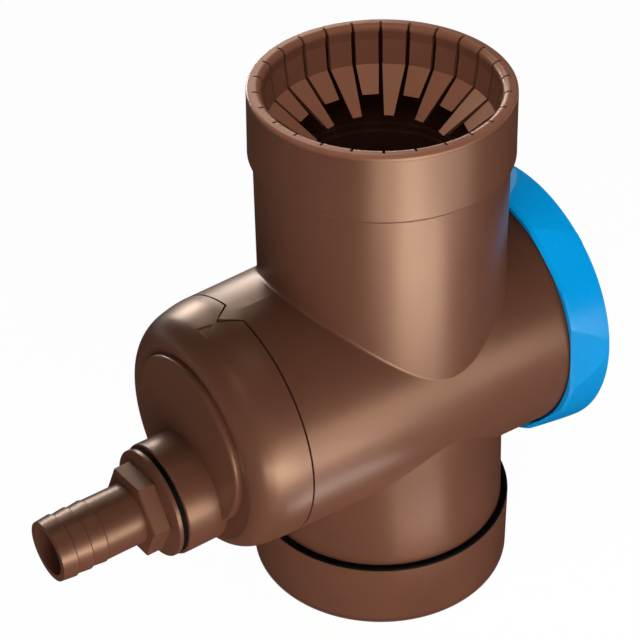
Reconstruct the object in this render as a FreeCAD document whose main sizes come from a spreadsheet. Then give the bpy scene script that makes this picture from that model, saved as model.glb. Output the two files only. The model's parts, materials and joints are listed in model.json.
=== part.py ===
import FreeCAD, Part
import os
import re
import Sketcher
from FreeCAD import Vector

# A rainwater diverter for a downpipe.  Z is the pipe's axis and points up the
# pipe, X is the axis of the horizontal chamber, and the origin is the centre
# of the outlet's lower face.  Lengths are in millimetres, angles in degrees.

os.makedirs("parts", exist_ok=True)
doc = FreeCAD.newDocument("rainwater_diverter")
sheet = doc.addObject("Spreadsheet::Sheet", "Sizes")
rows = []


def sizes(**given):
    for name, number in given.items():
        rows.append(name)
        sheet.set(f"A{len(rows)}", name)
        sheet.set(f"B{len(rows)}", str(number))
        sheet.setAlias(f"B{len(rows)}", name)


# The housing: one moulding of socket, upper tube, chamber and spigot.
sizes(
    chamber_height=114,
    wall=3.2,
    tube_radius=55,
    socket_radius=57.2,
    socket_lip_radius=56.7,
    socket_rim_height=251.3,
    socket_shoulder_height=223.1,
    socket_bore_radius=53.8,
    throat_ledge_height=209,
    spigot_top_radius=55.6,
    spigot_foot_radius=58.7,
    spigot_foot_height=4.3,
    spigot_bore_radius=53.7,
    overflow_ledge_height=33,
    overflow_ledge_thickness=3,
    overflow_ledge_radius=46,
    chamber_seam=77.1,
    chamber_seam_radius=56.15,
    chamber_mouth=71,
    chamber_flare_end=60.5,
    chamber_flare_radius=60.5,
    neck_radius=60.5,
    cap_socket_radius=53,
    cap_socket_depth=15.1,
    tab_half_width=6.4,
    tab_length=8.5,
    saddle_fillet=1.5,
    rail_inner=42,
    rail_outer=55.6,
    rail_drop=8,
    rail_thickness=3,
    rail_start=44,
    rail_end=40,
)
# The finger ring, with drops measured down from its top.
sizes(
    inlet_radius=50,
    lip_radius=56.6,
    lip_thickness=2.3,
    lip_edge_round=1.2,
    lip_mouth_round=3,
    root_depth=4.3,
    root_play=0.1,
    wall_foot_radius=48.4,
    kink_drop=18,
    finger_thickness=2,
    finger_pairs=13,
    slit_reach=54,
    slit_width_at_rim=1.1,
    slit_width_below=1.9,
    finger_root_width=10.2,
    long_tip_radius=28.9,
    long_tip_drop=32.6,
    long_tip_width=4.2,
    short_tip_radius=37.2,
    short_tip_drop=26.9,
    short_tip_width=7.2,
    finger_slope_extra=1.3,
    crown_turn=46.68,
)
# The throat.
sizes(
    throat_hole_radius=38.8,
    throat_first_step=44,
    throat_second_step=41.2,
    throat_plate=3,
    throat_skirt=11.5,
    throat_play=0.1,
    throat_skin=2.2,
)
# The leaf tray.
sizes(
    tray_half_width=46,
    tray_start=42,
    tray_end=69,
    tray_wall=2,
    tray_depth=26,
    tray_slot_width=4,
    tray_slot_pitch=8,
    tray_slot_count=9,
    tray_slot_margin=6,
    tray_rib=5,
    tray_grip_width=30,
    tray_grip_height=10,
)
# The overflow standpipe and its gasket.
sizes(
    standpipe_radius=32,
    standpipe_wall=2.5,
    standpipe_top=100,
    standpipe_flange_thickness=3,
    standpipe_flange_play=0.3,
    overflow_gasket_thickness=1.5,
)
# The outlet collar and its seal.
sizes(
    collar_radius=61.3,
    collar_height=34.2,
    collar_lip_bore=60.35,
    collar_lip_depth=8.2,
    collar_bore_play=0.3,
    collar_web=4,
    collar_edge_round=0.6,
    outlet_bore_radius=50.5,
    outlet_sleeve_height=30,
    outlet_sleeve_play=0.3,
    outlet_seal_height=5.7,
    outlet_seal_bore=58.2,
    outlet_seal_play=0.15,
)
# The end cap, with places along the chamber measured from the pipe axis.
sizes(
    seam_gap=0.35,
    cap_side=10.3,
    cap_front=103.4,
    cap_side_radius=55,
    dome_round_along=16,
    dome_round_across=12,
    dome_lean=3.3,
    cove_radius=5,
    cove_centre=107.2,
    cove_path_radius=43,
    disc_front=105.6,
    disc_radius=38.9,
    disc_lip_round=1.6,
    boss_front=121.6,
    boss_radius=26,
    boss_drop=26,
    boss_bore_radius=16.7,
    boss_edge_round=0.9,
    sleeve_play=0.4,
    sleeve_length=11.1,
    sleeve_bore_radius=49.8,
    seal_groove_radius=51.2,
    seal_groove_width=2.4,
    seal_groove_from_end=3,
    tab_play=0.4,
    notch_floor=52.3,
    arrow_depth=0.6,
    arrow_base=98.4,
    arrow_tip=89.6,
    arrow_half_width=2.3,
    arrow_plane_height=51.6,
    arrow_tilt=29.6,
)
# The ring on the end cap's sleeve.
sizes(
    cap_seal_radius=52.1,
    cap_seal_section=0.85,
)
# The hose tail.
sizes(
    tail_flange_front=124.1,
    tail_flange_radius=25,
    tail_flange_thickness=2,
    tail_flange_round=0.6,
    tail_hex_back=128,
    tail_hex_front=135.2,
    tail_hex_radius=20.5,
    tail_hex_turn=4.5,
    tail_hex_bevel=0.6,
    tail_shank_radius=13.95,
    tail_valley_radius=13.7,
    tail_ridge_radius=14.35,
    tail_ridge_land=0.5,
    tail_first_ridge=154.8,
    tail_ridge_pitch=7.2,
    tail_ridge_fall=0.6,
    tail_mouth=176,
    tail_bore_radius=10.8,
    tail_thread_play=0.3,
    tail_thread_end=99,
    tail_gasket_radius=23.5,
)
# The access cap and its seal.
sizes(
    access_skirt_start=60.5,
    access_rim=79.75,
    access_radius=66.5,
    access_mouth_radius=62.4,
    access_mouth_depth=4,
    access_thread_play=0.06,
    access_end_wall=3,
    access_bevel=0.8,
    access_flat_apothem=64,
    access_side_apothem=64.9,
    access_facet_step=22,
    access_flat_turn=64,
    access_grip_width=5,
    access_grip_proud=0.8,
    access_grip_turn=51.5,
    access_seal_thickness=2,
    access_seal_radius=60.2,
)
doc.recompute()


def linked(text):
    return re.sub(r"[a-z_]+", lambda word: ("Sizes." if word.group() in rows else "") + word.group(), text)


def number(holder, text):
    found = holder.evalExpression(linked(text))
    return float(getattr(found, "Value", found))


def new_body(name, up="0"):
    body = doc.addObject("PartDesign::Body", name)
    body.Label = name
    body.setExpression("Placement.Base.z", linked(up))
    return body


def origin_part(body, role):
    return next(item for item in body.Origin.OriginFeatures if item.Role == role)


def new_sketch(body, name, plane, lift="0", shift="0"):
    sketch = body.newObject("Sketcher::SketchObject", name)
    sketch.AttachmentSupport = (origin_part(body, plane), "")
    sketch.MapMode = "FlatFace"
    sketch.setExpression("AttachmentOffset.Base.z", linked(lift))
    sketch.setExpression("AttachmentOffset.Base.y", linked(shift))
    return sketch


# Ties one point of a sketch to the sketch's axes by two named lengths.
def pin(sketch, item, point, across, up):
    for kind, text, axis in (("DistanceX", across, -2), ("DistanceY", up, -1)):
        if text == "0":
            sketch.addConstraint(Sketcher.Constraint("PointOnObject", item, point, axis))
        else:
            rule = Sketcher.Constraint(kind, -1, 1, item, point, number(sketch, text))
            sketch.setExpression(f"Constraints[{sketch.addConstraint(rule)}]", linked(text))


def polygon(sketch, *corners):
    spots = [Vector(number(sketch, across), number(sketch, up), 0) for across, up in corners]
    start = sketch.GeometryCount
    count = len(spots)
    sketch.addGeometry([Part.LineSegment(spots[i], spots[(i + 1) % count]) for i in range(count)], False)
    joined = [Sketcher.Constraint("Coincident", start + i, 2, start + (i + 1) % count, 1) for i in range(count)]
    sketch.addConstraint(joined)
    for i, (across, up) in enumerate(corners):
        pin(sketch, start + i, 1, across, up)
    return sketch


def circle(sketch, radius, across="0", up="0"):
    spot = Vector(number(sketch, across), number(sketch, up), 0)
    item = sketch.addGeometry(Part.Circle(spot, Vector(0, 0, 1), number(sketch, radius)), False)
    pin(sketch, item, 3, across, up)
    rule = Sketcher.Constraint("Radius", item, number(sketch, radius))
    sketch.setExpression(f"Constraints[{sketch.addConstraint(rule)}]", linked(radius))
    return sketch


def turned(body, name, sketch, axis, kind="Revolution"):
    solid = body.newObject("PartDesign::" + kind, name)
    solid.Profile = sketch
    solid.ReferenceAxis = (sketch, [axis])
    solid.Angle = 360
    return solid


def raised(body, name, sketch, length, kind="Pad", backward=False, symmetric=False):
    solid = body.newObject("PartDesign::" + kind, name)
    solid.Profile = sketch
    solid.setExpression("Length", linked(length))
    solid.Reversed = backward
    solid.SideType = "Symmetric" if symmetric else "One side"
    return solid


def lofted(body, name, sketches, kind="AdditiveLoft", ruled=False):
    solid = body.newObject("PartDesign::" + kind, name)
    solid.Profile = sketches[0]
    solid.Sections = sketches[1:]
    solid.Ruled = ruled
    return solid


# Edges of the newest solid are chosen by a test on the edge itself.
def rounded(body, name, radius, test, kind="Fillet"):
    doc.recompute()
    base = body.Tip
    picked = [f"Edge{i}" for i, edge in enumerate(base.Shape.Edges, 1) if test(edge)]
    if not picked:
        raise RuntimeError(name + " finds no edge")
    solid = body.newObject("PartDesign::" + kind, name)
    solid.Base = (base, picked)
    solid.setExpression("Radius" if kind == "Fillet" else "Size", linked(radius))
    return solid


def repeated(body, name, originals, axis, count):
    doc.recompute()
    pattern = body.newObject("PartDesign::PolarPattern", name)
    pattern.Originals = originals
    pattern.Axis = axis
    pattern.Angle = 360
    pattern.setExpression("Occurrences", linked(count))
    body.Tip = pattern
    return pattern


def is_ring(edge, radius, along, axis="x"):
    curve = edge.Curve
    right_size = isinstance(curve, Part.Circle) and abs(curve.Radius - number(sheet, radius)) < 0.02
    return right_size and abs(getattr(curve.Center, axis) - number(sheet, along)) < 0.02


# The housing: one hollow moulding of socket, upper tube, chamber and spigot.
housing = new_body("housing")
stem = polygon(
    new_sketch(housing, "stem_outline", "XZ_Plane"),
    ("0", "spigot_foot_height"),
    ("spigot_foot_radius", "spigot_foot_height"),
    ("spigot_top_radius", "chamber_height"),
    ("tube_radius", "chamber_height"),
    ("tube_radius", "socket_shoulder_height - (socket_radius - tube_radius)"),
    ("socket_radius", "socket_shoulder_height"),
    ("socket_lip_radius", "socket_rim_height"),
    ("0", "socket_rim_height"),
)
turned(housing, "stem", stem, "V_Axis")
barrel = polygon(
    new_sketch(housing, "barrel_outline", "XZ_Plane", shift="chamber_height"),
    ("-chamber_seam - tab_length", "0"),
    ("chamber_mouth", "0"),
    ("chamber_mouth", "neck_radius"),
    ("chamber_flare_end", "chamber_flare_radius"),
    ("-chamber_seam", "chamber_seam_radius"),
    ("-chamber_seam - tab_length", "chamber_seam_radius"),
)
turned(housing, "barrel", barrel, "H_Axis")
upper_half = polygon(
    new_sketch(housing, "tab_cut_outline", "XY_Plane", lift="chamber_height"),
    ("-chamber_seam - tab_length - wall", "-tube_radius - wall"),
    ("-chamber_seam", "-tube_radius - wall"),
    ("-chamber_seam", "-tab_half_width"),
    ("-chamber_seam - tab_length", "0"),
    ("-chamber_seam", "tab_half_width"),
    ("-chamber_seam", "tube_radius + wall"),
    ("-chamber_seam - tab_length - wall", "tube_radius + wall"),
)
raised(housing, "tab_cut", upper_half, "tube_radius + wall", "Pocket", backward=True)
lower_half = polygon(
    new_sketch(housing, "seam_cut_outline", "XY_Plane", lift="chamber_height"),
    ("-chamber_seam - tab_length - wall", "-tube_radius - wall"),
    ("-chamber_seam", "-tube_radius - wall"),
    ("-chamber_seam", "tube_radius + wall"),
    ("-chamber_seam - tab_length - wall", "tube_radius + wall"),
)
raised(housing, "seam_cut", lower_half, "tube_radius + wall", "Pocket")
hollow = polygon(
    new_sketch(housing, "stem_hollow_outline", "XZ_Plane"),
    ("0", "spigot_foot_height"),
    ("spigot_bore_radius", "spigot_foot_height"),
    ("spigot_bore_radius", "overflow_ledge_height"),
    ("overflow_ledge_radius", "overflow_ledge_height"),
    ("overflow_ledge_radius", "overflow_ledge_height + overflow_ledge_thickness"),
    ("spigot_bore_radius", "overflow_ledge_height + overflow_ledge_thickness"),
    ("spigot_top_radius - wall", "chamber_height"),
    ("tube_radius - wall", "chamber_height"),
    ("tube_radius - wall", "throat_ledge_height"),
    ("socket_bore_radius", "throat_ledge_height"),
    ("socket_bore_radius", "socket_rim_height"),
    ("0", "socket_rim_height"),
)
turned(housing, "stem_hollow", hollow, "V_Axis", "Groove")
cavity = polygon(
    new_sketch(housing, "barrel_hollow_outline", "XZ_Plane", shift="chamber_height"),
    ("-chamber_seam - tab_length", "0"),
    ("chamber_mouth", "0"),
    ("chamber_mouth", "neck_radius - wall"),
    ("chamber_flare_end", "chamber_flare_radius - wall"),
    ("-chamber_seam + cap_socket_depth", "cap_socket_radius"),
    ("-chamber_seam - tab_length", "cap_socket_radius"),
)
turned(housing, "barrel_hollow", cavity, "H_Axis", "Groove")
rails = new_sketch(housing, "rail_outline", "XY_Plane", lift="chamber_height - rail_drop")
for near, far in (("rail_inner", "rail_outer"), ("-rail_outer", "-rail_inner")):
    polygon(rails, ("-rail_start", near), ("rail_end", near), ("rail_end", far), ("-rail_start", far))
raised(housing, "rails", rails, "rail_thickness", backward=True)
tube_width = number(sheet, "2 * tube_radius")
rounded(
    housing, "saddle", "saddle_fillet",
    lambda edge: edge.BoundBox.ZMin > number(sheet, "chamber_height")
    and abs(edge.BoundBox.XLength - tube_width) < 0.1 and isinstance(edge.Curve, Part.BSplineCurve),
)

# The inlet: a lip that lies on the socket, with two lengths of finger
crown = new_body("inlet_finger_ring", "socket_rim_height + lip_thickness")
crown.setExpression("Placement.Rotation.Angle", linked("crown_turn * 1deg"))
lip = polygon(
    new_sketch(crown, "lip_outline", "XZ_Plane"),
    ("inlet_radius", "0"),
    ("lip_radius", "0"),
    ("lip_radius", "-lip_thickness"),
    ("socket_bore_radius - root_play", "-lip_thickness"),
    ("socket_bore_radius - root_play", "-lip_thickness - root_depth"),
    ("inlet_radius + finger_thickness", "-lip_thickness - root_depth"),
    ("wall_foot_radius + finger_thickness", "-kink_drop"),
    ("wall_foot_radius", "-kink_drop"),
    ("inlet_radius", "-lip_thickness - root_depth"),
)
turned(crown, "lip", lip, "V_Axis")
rounded(crown, "lip_edge", "lip_edge_round", lambda edge: is_ring(edge, "lip_radius", "0", "z"))
rounded(crown, "lip_mouth", "lip_mouth_round", lambda edge: is_ring(edge, "inlet_radius", "0", "z"))


def swung(radius, sideways, angle):
    return (
        f"({radius}) * cos({angle}) - ({sideways}) * sin({angle})",
        f"({radius}) * sin({angle}) + ({sideways}) * cos({angle})",
    )


def block(sketch, near, far, width, angle):
    half = f"({width}) / 2"
    corners = ((near, f"-{half}"), (far, f"-{half}"), (far, half), (near, half))
    return polygon(sketch, *[swung(radius, sideways, angle) for radius, sideways in corners])


slit_angle = "90deg / finger_pairs"
rim_slit = block(
    new_sketch(crown, "rim_slit_outline", "XY_Plane"),
    "long_tip_radius", "slit_reach", "slit_width_at_rim", slit_angle,
)
upper_slit = raised(crown, "rim_slit", rim_slit, "lip_thickness", "Pocket")
wall_slit = block(
    new_sketch(crown, "wall_slit_outline", "XY_Plane", lift="-lip_thickness"),
    "long_tip_radius", "slit_reach", "slit_width_below", slit_angle,
)
lower_slit = raised(crown, "wall_slit", wall_slit, "kink_drop", "Pocket")
repeated(crown, "slits", [upper_slit, lower_slit], (origin_part(crown, "Z_Axis"), [""]), "2 * finger_pairs")


def finger(name, tip_radius, tip_drop, tip_width, angle):
    thick = "finger_thickness + finger_slope_extra"
    top = block(
        new_sketch(crown, name + "_root", "XY_Plane", lift="-kink_drop"),
        "wall_foot_radius", f"wall_foot_radius + {thick}", "finger_root_width", angle,
    )
    tip = block(
        new_sketch(crown, name + "_tip", "XY_Plane", lift=f"-{tip_drop}"),
        tip_radius, f"{tip_radius} + {thick}", tip_width, angle,
    )
    return lofted(crown, name, [top, tip], ruled=True)


doc.recompute()
long_finger = finger("long_finger", "long_tip_radius", "long_tip_drop", "long_tip_width", "0deg")
doc.recompute()
short_finger = finger(
    "short_finger", "short_tip_radius", "short_tip_drop", "short_tip_width", "180deg / finger_pairs"
)
repeated(crown, "fingers", [long_finger, short_finger], (origin_part(crown, "Z_Axis"), [""]), "finger_pairs")

# The stepped throat that rests on the ledge under the fingers
throat = new_body("throat_ring", "throat_ledge_height")
steps = polygon(
    new_sketch(throat, "throat_outline", "XZ_Plane"),
    ("throat_first_step", "throat_plate"),
    ("socket_bore_radius - throat_play", "throat_plate"),
    ("socket_bore_radius - throat_play", "0"),
    ("throat_first_step + throat_skin", "0"),
    ("throat_first_step + throat_skin", "-throat_plate"),
    ("throat_second_step + throat_skin", "-throat_plate"),
    ("throat_second_step + throat_skin", "-throat_plate - throat_skin"),
    ("throat_hole_radius + throat_skin", "-throat_plate - throat_skin"),
    ("throat_hole_radius + throat_skin", "-throat_skirt"),
    ("throat_hole_radius", "-throat_skirt"),
    ("throat_hole_radius", "-throat_plate + 0.5"),
    ("throat_second_step", "-throat_plate + 0.5"),
    ("throat_second_step", "0"),
    ("throat_first_step", "0"),
)
turned(throat, "throat_steps", steps, "V_Axis")

# The slotted tray that holds back leaves and lies loose on the rails
tray = new_body("leaf_tray", "chamber_height - rail_drop")
floor_plan = polygon(
    new_sketch(tray, "tray_plan", "XY_Plane"),
    ("-tray_start", "-tray_half_width"),
    ("tray_end", "-tray_half_width"),
    ("tray_end", "tray_half_width"),
    ("-tray_start", "tray_half_width"),
)
raised(tray, "tray_block", floor_plan, "tray_depth")
inside = polygon(
    new_sketch(tray, "tray_inside_plan", "XY_Plane", lift="tray_wall"),
    ("-tray_start + tray_wall", "-tray_half_width + tray_wall"),
    ("tray_end - tray_wall", "-tray_half_width + tray_wall"),
    ("tray_end - tray_wall", "tray_half_width - tray_wall"),
    ("-tray_start + tray_wall", "tray_half_width - tray_wall"),
)
raised(tray, "tray_inside", inside, "tray_depth", "Pocket", backward=True)
slots = new_sketch(tray, "tray_slot_plan", "XY_Plane")
middle = "(tray_end - tray_start) / 2"
low = "-(tray_slot_count - 1) / 2 * tray_slot_pitch - tray_slot_width / 2"
high = "-(tray_slot_count - 1) / 2 * tray_slot_pitch + tray_slot_width / 2"
for first, last in (
    ("-tray_start + tray_slot_margin", f"{middle} - tray_rib / 2"),
    (f"{middle} + tray_rib / 2", "tray_end - tray_slot_margin"),
):
    polygon(slots, (first, low), (last, low), (last, high), (first, high))
slot = raised(tray, "tray_slot", slots, "tray_wall", "Pocket", backward=True)
doc.recompute()
row_of_slots = tray.newObject("PartDesign::LinearPattern", "tray_slots")
row_of_slots.Originals = [slot]
row_of_slots.Direction = (origin_part(tray, "Y_Axis"), [""])
row_of_slots.setExpression("Length", linked("(tray_slot_count - 1) * tray_slot_pitch"))
row_of_slots.setExpression("Occurrences", linked("tray_slot_count"))
tray.Tip = row_of_slots
grip = polygon(
    new_sketch(tray, "tray_grip_outline", "YZ_Plane", lift="tray_end"),
    ("-tray_grip_width / 2", "tray_depth - tray_grip_height - tray_wall * 2"),
    ("tray_grip_width / 2", "tray_depth - tray_grip_height - tray_wall * 2"),
    ("tray_grip_width / 2", "tray_depth - tray_wall * 2"),
    ("-tray_grip_width / 2", "tray_depth - tray_wall * 2"),
)
raised(tray, "tray_grip", grip, "tray_wall", "Pocket")

# The overflow standpipe with its gasket on the spigot's ledge
gasket_seat = "overflow_ledge_height + overflow_ledge_thickness"
gasket = new_body("overflow_gasket", gasket_seat)
washer = new_sketch(gasket, "overflow_gasket_outline", "XY_Plane")
circle(washer, "spigot_bore_radius - standpipe_flange_play")
circle(washer, "overflow_ledge_radius")
raised(gasket, "overflow_gasket_ring", washer, "overflow_gasket_thickness")

standpipe = new_body("overflow_pipe", gasket_seat + " + overflow_gasket_thickness")
flange_top = "standpipe_flange_thickness"
pipe = polygon(
    new_sketch(standpipe, "standpipe_outline", "XZ_Plane"),
    ("standpipe_radius - standpipe_wall", "0"),
    ("spigot_bore_radius - standpipe_flange_play", "0"),
    ("spigot_bore_radius - standpipe_flange_play", flange_top),
    ("standpipe_radius", flange_top),
    ("standpipe_radius", f"standpipe_top - ({gasket_seat}) - overflow_gasket_thickness"),
    ("standpipe_radius - standpipe_wall", f"standpipe_top - ({gasket_seat}) - overflow_gasket_thickness"),
)
turned(standpipe, "standpipe", pipe, "V_Axis")

# The outlet collar, a channel that takes the spigot, and its seal
collar = new_body("outlet_collar")
channel = polygon(
    new_sketch(collar, "collar_outline", "XZ_Plane"),
    ("outlet_bore_radius", "0"),
    ("collar_radius", "0"),
    ("collar_radius", "collar_height"),
    ("collar_lip_bore", "collar_height"),
    ("collar_lip_bore", "collar_height - collar_lip_depth"),
    ("spigot_foot_radius + collar_bore_play", "collar_height - collar_lip_depth"),
    ("spigot_foot_radius + collar_bore_play", "collar_web"),
    ("spigot_bore_radius - outlet_sleeve_play", "collar_web"),
    ("spigot_bore_radius - outlet_sleeve_play", "outlet_sleeve_height"),
    ("outlet_bore_radius", "outlet_sleeve_height"),
)
turned(collar, "collar_channel", channel, "V_Axis")
rounded(
    collar, "collar_edges", "collar_edge_round",
    lambda edge: is_ring(edge, "collar_radius", "0", "z") or is_ring(edge, "collar_radius", "collar_height", "z"),
)

seal = new_body("outlet_seal", "collar_height - collar_lip_depth")
band = new_sketch(seal, "outlet_seal_outline", "XY_Plane")
circle(band, "collar_lip_bore - outlet_seal_play")
circle(band, "outlet_seal_bore")
raised(seal, "outlet_seal_band", band, "outlet_seal_height")

# The end cap: a dome whose front leans down, with a disc and a boss
end_cap = new_body("end_cap", "chamber_height")


def station(name, where, radius, drop):
    ring = new_sketch(end_cap, name, "YZ_Plane", lift=where)
    return circle(ring, radius, "0", drop)


rings = [
    station("seam_ring", "-chamber_seam - seam_gap", "chamber_seam_radius", "0"),
    station("side_ring", "-chamber_seam - cap_side / 2", "(chamber_seam_radius + cap_side_radius) / 2", "0"),
    station("shoulder_ring", "-chamber_seam - cap_side", "cap_side_radius", "0"),
]
for step, share in enumerate((15, 30, 45, 60, 75, 90)):
    rings.append(
        station(
            f"dome_ring_{step}",
            f"-chamber_seam - cap_side - dome_round_along * sin({share}deg)",
            f"cap_side_radius - dome_round_across * (1 - cos({share}deg))",
            f"-dome_lean * sin({share}deg)",
        )
    )
lofted(end_cap, "dome", rings)
cove = circle(new_sketch(end_cap, "cove_outline", "XZ_Plane"), "cove_radius", "-cove_centre", "cove_path_radius")
turned(end_cap, "cove", cove, "H_Axis", "Groove")
disc = circle(new_sketch(end_cap, "disc_outline", "YZ_Plane", lift="-cap_front + 5"), "disc_radius")
raised(end_cap, "disc", disc, "disc_front - cap_front + 5", backward=True)
rounded(end_cap, "disc_lip", "disc_lip_round", lambda edge: is_ring(edge, "disc_radius", "-disc_front"))
boss = circle(
    new_sketch(end_cap, "boss_outline", "YZ_Plane", lift="-cap_front + 7"), "boss_radius", "0", "-boss_drop"
)
raised(end_cap, "boss", boss, "boss_front - cap_front + 7", backward=True)
rounded(end_cap, "boss_edge", "boss_edge_round", lambda edge: is_ring(edge, "boss_radius", "-boss_front"))
sleeve = circle(
    new_sketch(end_cap, "sleeve_outline", "YZ_Plane", lift="-chamber_seam - seam_gap - 1"),
    "cap_socket_radius - sleeve_play",
)
raised(end_cap, "sleeve", sleeve, "seam_gap + 1 + sleeve_length")
inner_rings = [
    station("hollow_mouth", "-chamber_seam + sleeve_length", "sleeve_bore_radius", "0"),
    station("hollow_side", "-chamber_seam - cap_side", "sleeve_bore_radius", "0"),
    station("hollow_knee", "-chamber_seam - cap_side - 8", "sleeve_bore_radius - 2.5", "-dome_lean / 3"),
    station("hollow_floor", "-cap_front + wall", "sleeve_bore_radius - 10", "-dome_lean"),
]
lofted(end_cap, "dome_hollow", inner_rings, "SubtractiveLoft", ruled=True)
bore = circle(
    new_sketch(end_cap, "boss_bore_outline", "YZ_Plane", lift="-boss_front"), "boss_bore_radius", "0", "-boss_drop"
)
raised(end_cap, "boss_bore", bore, "boss_front - cap_front + 10", "Pocket", backward=True)
groove = polygon(
    new_sketch(end_cap, "seal_groove_outline", "XZ_Plane"),
    ("-chamber_seam + sleeve_length - seal_groove_from_end - seal_groove_width", "seal_groove_radius"),
    ("-chamber_seam + sleeve_length - seal_groove_from_end", "seal_groove_radius"),
    ("-chamber_seam + sleeve_length - seal_groove_from_end", "cap_socket_radius"),
    ("-chamber_seam + sleeve_length - seal_groove_from_end - seal_groove_width", "cap_socket_radius"),
)
turned(end_cap, "seal_groove", groove, "H_Axis", "Groove")
notch = polygon(
    new_sketch(end_cap, "notch_outline", "XY_Plane", lift="notch_floor"),
    ("-chamber_seam", "-tab_half_width - tab_play"),
    ("-chamber_seam - tab_length - tab_play", "0"),
    ("-chamber_seam", "tab_half_width + tab_play"),
)
raised(end_cap, "notch", notch, "wall * 3", "Pocket", backward=True)
arrow = new_sketch(end_cap, "arrow_outline", "XY_Plane", lift="arrow_plane_height - arrow_depth")
arrow.setExpression("AttachmentOffset.Base.x", linked("-(arrow_base + arrow_tip) / 2"))
arrow.AttachmentOffset = FreeCAD.Placement(arrow.AttachmentOffset.Base, FreeCAD.Rotation(Vector(0, -1, 0), 1))
arrow.setExpression("AttachmentOffset.Rotation.Angle", linked("arrow_tilt * 1deg"))
half_arrow = "(arrow_base - arrow_tip) / 2 / cos(arrow_tilt * 1deg)"
polygon(
    arrow,
    ("-" + half_arrow, "-arrow_half_width"),
    (half_arrow, "0"),
    ("-" + half_arrow, "arrow_half_width"),
)
raised(end_cap, "arrow", arrow, "wall", "Pocket", backward=True)

# The ring that seals the end cap's sleeve in the chamber
cap_seal = doc.addObject("Part::Torus", "end_cap_seal")
cap_seal.Label = "end_cap_seal"
cap_seal.setExpression("Radius1", linked("cap_seal_radius"))
cap_seal.setExpression("Radius2", linked("cap_seal_section"))
cap_seal.Placement = FreeCAD.Placement(Vector(0, 0, 0), FreeCAD.Rotation(Vector(0, 1, 0), 90))
cap_seal.setExpression("Placement.Base.z", linked("chamber_height"))
cap_seal.setExpression(
    "Placement.Base.x",
    linked("-chamber_seam + sleeve_length - seal_groove_from_end - seal_groove_width / 2"),
)

# The hose tail and the gasket behind its flange
tail = new_body("hose_tail", "chamber_height - boss_drop")
first = "tail_first_ridge"
shank = polygon(
    new_sketch(tail, "tail_outline", "XZ_Plane"),
    ("-tail_thread_end", "tail_bore_radius"),
    ("-tail_thread_end", "boss_bore_radius - tail_thread_play"),
    ("-tail_flange_front", "boss_bore_radius - tail_thread_play"),
    ("-tail_flange_front", "tail_flange_radius"),
    ("-tail_flange_front - tail_flange_thickness", "tail_flange_radius"),
    ("-tail_hex_back", "tail_hex_radius * cos(30deg)"),
    ("-tail_hex_front", "tail_hex_radius * cos(30deg)"),
    ("-tail_hex_front", "tail_shank_radius"),
    (f"-{first} + tail_ridge_fall", "tail_shank_radius"),
    (f"-{first}", "tail_ridge_radius"),
    (f"-{first} - tail_ridge_land", "tail_ridge_radius"),
    (f"-{first} - tail_ridge_pitch + tail_ridge_fall", "tail_valley_radius"),
    (f"-{first} - tail_ridge_pitch", "tail_ridge_radius"),
    (f"-{first} - tail_ridge_pitch - tail_ridge_land", "tail_ridge_radius"),
    (f"-{first} - 2 * tail_ridge_pitch + tail_ridge_fall", "tail_valley_radius"),
    (f"-{first} - 2 * tail_ridge_pitch", "tail_ridge_radius"),
    (f"-{first} - 2 * tail_ridge_pitch - tail_ridge_land", "tail_ridge_radius"),
    ("-tail_mouth", "tail_valley_radius"),
    ("-tail_mouth", "tail_bore_radius"),
)
turned(tail, "tail_shank", shank, "H_Axis")
hexagon = new_sketch(tail, "tail_hex_outline", "YZ_Plane", lift="-tail_hex_front")
corners = []
for k in range(6):
    bearing = f"({60 * k}deg + tail_hex_turn * 1deg)"
    corners.append((f"tail_hex_radius * cos{bearing}", f"tail_hex_radius * sin{bearing}"))
polygon(hexagon, *corners)
circle(hexagon, "tail_shank_radius - 1")
raised(tail, "tail_hex", hexagon, "tail_hex_front - tail_hex_back + 1")
rounded(
    tail, "tail_hex_edges", "tail_hex_bevel",
    lambda edge: isinstance(edge.Curve, Part.Line) and abs(edge.Length - number(sheet, "tail_hex_radius")) < 0.02
    and edge.BoundBox.XLength < 0.01 and abs(edge.BoundBox.XMin + number(sheet, "tail_hex_front")) < 0.01,
    "Chamfer",
)
rounded(
    tail, "tail_flange_edges", "tail_flange_round",
    lambda edge: is_ring(edge, "tail_flange_radius", "-tail_flange_front - tail_flange_thickness"),
)

tail_gasket = new_body("hose_tail_gasket", "chamber_height - boss_drop")
ring = new_sketch(tail_gasket, "tail_gasket_outline", "YZ_Plane", lift="-tail_flange_front")
circle(ring, "tail_gasket_radius")
circle(ring, "boss_bore_radius")
raised(tail_gasket, "tail_gasket_ring", ring, "tail_flange_front - boss_front")

# The access cap that screws on the chamber's neck, and its seal
access = new_body("access_cap", "chamber_height")
seal_end = "chamber_mouth + access_seal_thickness"
cup = polygon(
    new_sketch(access, "access_outline", "XZ_Plane"),
    ("access_skirt_start", "access_mouth_radius"),
    ("access_skirt_start", "access_radius"),
    ("access_rim", "access_radius"),
    ("access_rim", "access_mouth_radius - 0.4"),
    (f"{seal_end} + access_end_wall", "access_mouth_radius - 0.4"),
    (f"{seal_end} + access_end_wall", "0"),
    (seal_end, "0"),
    (seal_end, "neck_radius + access_thread_play"),
    ("access_skirt_start + access_mouth_depth", "neck_radius + access_thread_play"),
    ("access_skirt_start + access_mouth_depth", "access_mouth_radius"),
)
turned(access, "access_cup", cup, "H_Axis")


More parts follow.
